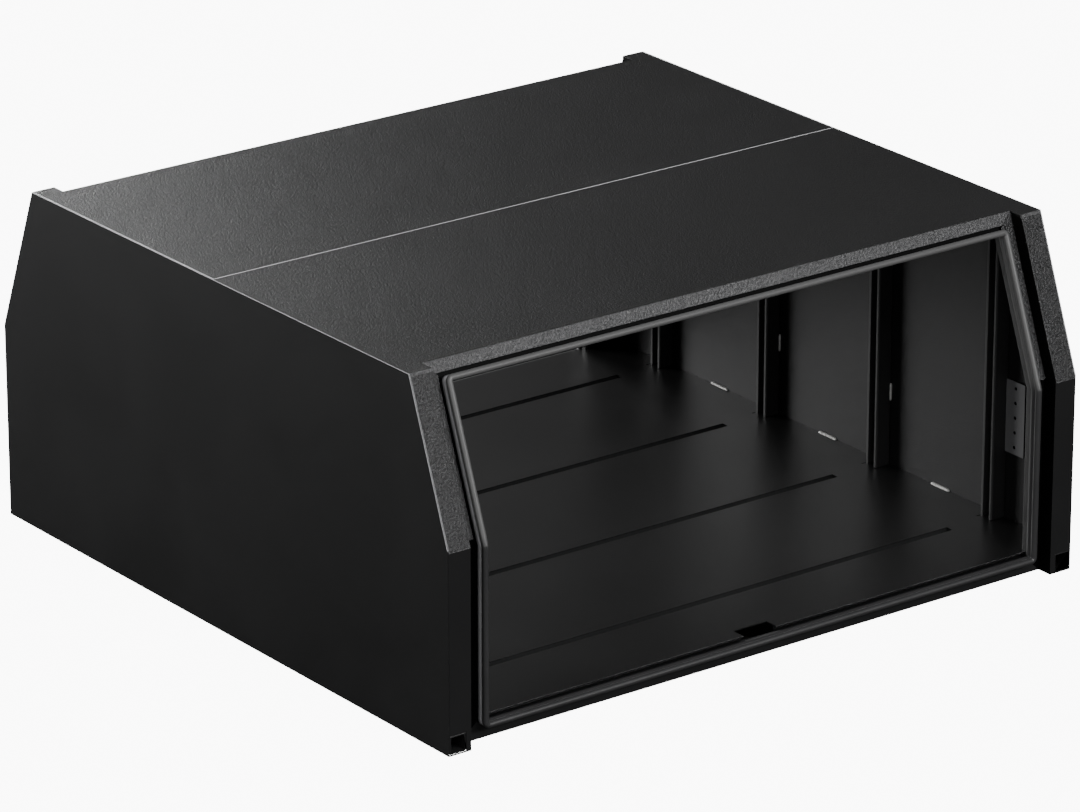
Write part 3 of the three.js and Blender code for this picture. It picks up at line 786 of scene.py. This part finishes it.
arc = np.linspace(0.0, math.pi / 2, 9)
quarter = np.stack([BEAD * np.cos(arc), BEAD * np.sin(arc)], axis=1)
BEAD_OUTLINE = np.concatenate([[(0.0, 0.0)], quarter])
RIB_PLACES = (-0.639, -0.213, 0.213, 0.639)
WALL_INSIDE = HALF_LENGTH - (WALL_SHEET + SEAT)
FLOOR_BEAD = 0.066
FLOOR_BEAD_RINGS = 121
ENDS = (("left", -1.0), ("right", 1.0))
for end, side in ENDS:
    for number in range(1, 4):
        middle = -side * (RIB_PLACES[number] + RIB_PLACES[number - 1]) / 2
        along, size = bead_scale(FLOOR_BEAD, FLOOR_BEAD_RINGS)
        places = middle + along - FLOOR_BEAD / 2
        path = [
            ((side * WALL_INSIDE, place, FLOOR_TOP + SEAT), (-side, 0, 0), (0, 0, 1))
            for place in places
        ]
        bead = built(
            f"{end}_floor_bead_{number}", [(carried(BEAD_OUTLINE, path, scale=size), 0)],
            (WELD_METAL,), [f"{end}_floor_weld_{number}"], smooth=60.0,
        )

# %% [markdown]
# The photograph shows two of the upright beads, each on the side of a rib that faces the front.
# They sit in the corner between the rib and the end wall. Three are made on each end wall.

# %% Rib beads
RIB_HALF = 0.0205
RIB_BEAD_FOOT = 0.223
RIB_BEAD_LENGTH = 0.045
RIB_BEAD_SIZE = 0.7
RIB_BEAD_RINGS = 81
for end, side in ENDS:
    parts = []
    for rib_place in RIB_PLACES[1:]:
        along, size = bead_scale(RIB_BEAD_LENGTH, RIB_BEAD_RINGS)
        flank = side * rib_place - side * RIB_HALF
        path = [
            ((side * WALL_INSIDE, flank, RIB_BEAD_FOOT + rise), (-side, 0, 0), (0, -side, 0))
            for rise in along
        ]
        parts.append((carried(BEAD_OUTLINE, path, scale=size * RIB_BEAD_SIZE), 0))
    bead = built(f"{end}_rib_beads", parts, (WELD_METAL,), [], smooth=60.0)
    print(end, "rib beads", len(parts))

# %% [markdown]
# ## The flat sheets
# Each kind of sheet gets its own fold radius and says which cut edges shine, with a painted
# highlight. On the tubes all do, and on the caps all but those that touch the roof. On the roof
# the upper ones do, apart from its tabs over the caps. The end walls shine above the waist, where
# the caps meet them. The floor shines along its front and rear edge, and its slots stay crisp.

# %% Which edges
HAIR = 0.001
TAB_START = (0.838, 0.70)


def every(middle):
    """All edges."""
    return np.ones(len(middle), dtype=bool)


def never(middle):
    """No edge."""
    return np.zeros(len(middle), dtype=bool)


def above_waist(middle):
    """Edges whose middle is more than two hairs above the waist."""
    return middle[:, 2] > WAIST + 2 * HAIR


def floor_front(middle):
    """Edges on the floor's front or rear line."""
    return np.abs(np.abs(middle[:, 1]) - FLOOR_EDGE) < HAIR


def near_top(middle):
    """Edges of a cap that touch the roof, which are the ones just under it."""
    return middle[:, 2] > BODY_HEIGHT - 0.035


def on_top(middle):
    """Edges of the roof's flat top."""
    return middle[:, 2] > BODY_HEIGHT - 0.010


def tab_edges(middle):
    """Short edges of the roof's tabs over the caps, which are the ones past both limits."""
    return (np.abs(middle[:, 0]) > TAB_START[0]) & (np.abs(middle[:, 1]) > TAB_START[1])


# %% Which finish
FACING = 0.9
LEANING = 0.7


def gutter_side(normal, centre):
    """Finish 2, the painted shade, for the faces of a post or cap that look into the gutter, 3 for
    its floor.
    """
    post_edge = HALF_LENGTH - POST_WIDTH
    inward = -np.sign(centre[:, 0]) * normal[:, 0] > FACING
    deep = inward & (np.abs(np.abs(centre[:, 0]) - post_edge) < HAIR)
    floor = (np.abs(centre[:, 0]) < post_edge - HAIR) & (np.abs(normal[:, 1]) > LEANING)
    return np.where(deep, 2, np.where(floor, 3, 0))


def roof_fold(normal, centre):
    """Finish 2, the roof coat's painted-light copy, for a roof panel's faces that look front or
    rear.
    """
    return np.where(np.abs(normal[:, 1]) > LEANING, 2, 0)


def wall_inside(normal, centre):
    """Finish 2 for the faces of an end wall that look into the body."""
    return np.where(-np.sign(centre[:, 0]) * normal[:, 0] > FACING, 2, 0)


def hole_walls(normal, centre):
    """Finish 2, the painted shade, for the faces of a bracket that aren't its two broad sides."""
    return np.where(np.abs(normal[:, 0]) < 0.5, 2, 0)


# %% Dress every sheet
SMALL_PART = dict(fold=0.0008, rim=0.0004, bright=never)
KINDS = {
    "_post": dict(
        coats=(WALL_COAT, WALL_COAT, SHADED_COAT, WALL_COAT), fold=0.003, rim=0.0006,
        bright=never, coat_of=gutter_side,
    ),
    "_slope_cap": dict(
        coats=(CAP_COAT, EDGE_HIGHLIGHT_COAT, SHADED_COAT, CAP_COAT), fold=0.0035, rim=0.0009,
        bright=every, coat_of=gutter_side, crisp=near_top, tuck=0.0006,
    ),
    "_end_wall": dict(
        coats=(WALL_COAT, EDGE_HIGHLIGHT_COAT, PANEL_COAT), fold=0.003, rim=0.0009,
        bright=above_waist, coat_of=wall_inside,
    ),
    "_base_tube": dict(coats=(WALL_COAT, EDGE_HIGHLIGHT_COAT), fold=0.003, rim=0.0008, bright=every),
    "_roof_panel": dict(
        coats=(ROOF_COAT, ROOF_EDGE_HIGHLIGHT_COAT, LIT_FOLD_COAT), fold=0.0045, rim=0.0013,
        bright=on_top, coat_of=roof_fold, crisp=tab_edges,
    ),
    "roof_seam_strip": dict(coats=(ROOF_COAT, ROOF_COAT), **SMALL_PART),
    "_rib_": dict(coats=(RIB_COAT, RIB_COAT), **SMALL_PART),
    "_channel_": dict(coats=(RIB_COAT, RIB_COAT), **SMALL_PART),
    "_strut_bracket": dict(
        coats=(PLATE_COAT, PLATE_COAT, SHADED_COAT), coat_of=hole_walls, **SMALL_PART,
    ),
    "floor_panel": dict(
        coats=(FLOOR_COAT, EDGE_HIGHLIGHT_COAT), fold=0.0012, rim=0.0004, bright=floor_front,
    ),
}
dressed_count = 0
for row in frame["record"]["subparts"]:
    for label, how in KINDS.items():
        if label in row["node"]:
            dressed(row["node"], **how)
            dressed_count += 1
            break
print("dressed", dressed_count, "nodes")

# %% [markdown]
# ## Stage and light
# The floor is plain and pale, with a dark sheet hidden under the body. A large soft box hangs in
# front and above. Three stand behind the body, where the roof and the floor mirror them, and the
# nearest makes the bright patch at the roof's left. Two fill the front and one lights each end.
# The lights are hidden from the camera, so that only their reflections are seen.


# %% Floor
STUDIO_SIZE = 80.0
FLOOR_GLOW = 10.0
FLOOR_LENDS = 0.06
SHADOW_HEIGHT = 0.0006
SHADOW_INSET = 0.04


def pale_floor():
    """A wide plane that looks pale to the camera, and lends the body little light."""
    bpy.ops.mesh.primitive_plane_add(size=STUDIO_SIZE)
    floor = bpy.context.object
    floor.name = "studio_floor"
    material = bpy.data.materials.new("pale_floor")
    material.use_nodes = True
    tree = material.node_tree
    tree.nodes.remove(tree.nodes["Principled BSDF"])
    output = tree.nodes["Material Output"]
    seen = node(tree, "ShaderNodeEmission", Color=(1.0, 1.0, 1.0, 1.0), Strength=FLOOR_GLOW)
    lent = node(tree, "ShaderNodeBsdfDiffuse", Color=(FLOOR_LENDS, FLOOR_LENDS, FLOOR_LENDS, 1.0))
    path = node(tree, "ShaderNodeLightPath")
    mix = node(tree, "ShaderNodeMixShader")
    link(tree, (path, "Is Camera Ray"), (mix, "Fac"))
    tree.links.new(lent.outputs[0], mix.inputs[1])
    tree.links.new(seen.outputs[0], mix.inputs[2])
    link(tree, (mix, "Shader"), (output, "Surface"))
    floor.data.materials.append(material)


def shadow_under(half_length, half_width):
    """A dark sheet just above the floor, so that no pale floor shows through the notches."""
    bpy.ops.mesh.primitive_plane_add(size=2.0, location=(0.0, 0.0, SHADOW_HEIGHT))
    sheet = bpy.context.object
    sheet.name = "shadow_under_body"
    sheet.scale = (half_length, half_width, 1.0)
    material = bpy.data.materials.new("deep_shadow")
    material.use_nodes = True
    shader = material.node_tree.nodes["Principled BSDF"]
    shader.inputs["Base Color"].default_value = (0.01, 0.01, 0.01, 1.0)
    shader.inputs["Roughness"].default_value = 0.9
    sheet.data.materials.append(material)


pale_floor()
shadow_under(HALF_LENGTH - SHADOW_INSET, HALF_WIDTH - SHADOW_INSET)


# %% Lights
ROOM_LIGHT = 0.12


def soft_box(name, place, target, width, height, power):
    """An area light of a given size that faces a target."""
    data = bpy.data.lights.new(name, "AREA")
    data.shape = "RECTANGLE"
    data.size = width
    data.size_y = height
    data.energy = power
    light = bpy.data.objects.new(name, data)
    light.location = place
    heading = Vector(target) - Vector(place)
    light.rotation_euler = heading.to_track_quat("-Z", "Y").to_euler()
    light.visible_camera = False
    bpy.context.collection.objects.link(light)


soft_box("over_front", (-1.0, -5.0, 5.5), (0, 0, 0.4), 5.0, 3.0, 240.0)
soft_box("behind_middle", (1.2, 8.4, 3.6), (-0.4, 0.3, 0.8), 3.0, 2.0, 420.0)
soft_box("behind_left", (-1.8, 4.8, 2.3), (-0.4, 0.3, 0.8), 2.0, 1.3, 190.0)
soft_box("behind_far_left", (-5.0, 6.8, 1.8), (0.5, 0, 0.4), 3.0, 2.0, 282.0)
soft_box("front_right", (1.6, -7.6, 3.9), (0, 0, 0.4), 2.4, 1.2, 310.0)
soft_box("front_left", (-5.0, -6.4, 2.6), (0, 0, 0.4), 2.0, 1.5, 50.0)
soft_box("right", (8.0, 0.5, 2.2), (0, 0, 0.4), 3.0, 2.0, 110.0)
soft_box("left", (-7.8, -3.4, 1.8), (0, 0, 0.4), 4.0, 2.0, 72.0)

world = bpy.data.worlds.new("soft_room")
world.use_nodes = True
background = world.node_tree.nodes["Background"]
background.inputs["Color"].default_value = (1.0, 1.0, 1.0, 1.0)
background.inputs["Strength"].default_value = ROOM_LIGHT
bpy.context.scene.world = world
print("soft boxes", len(bpy.data.lights))
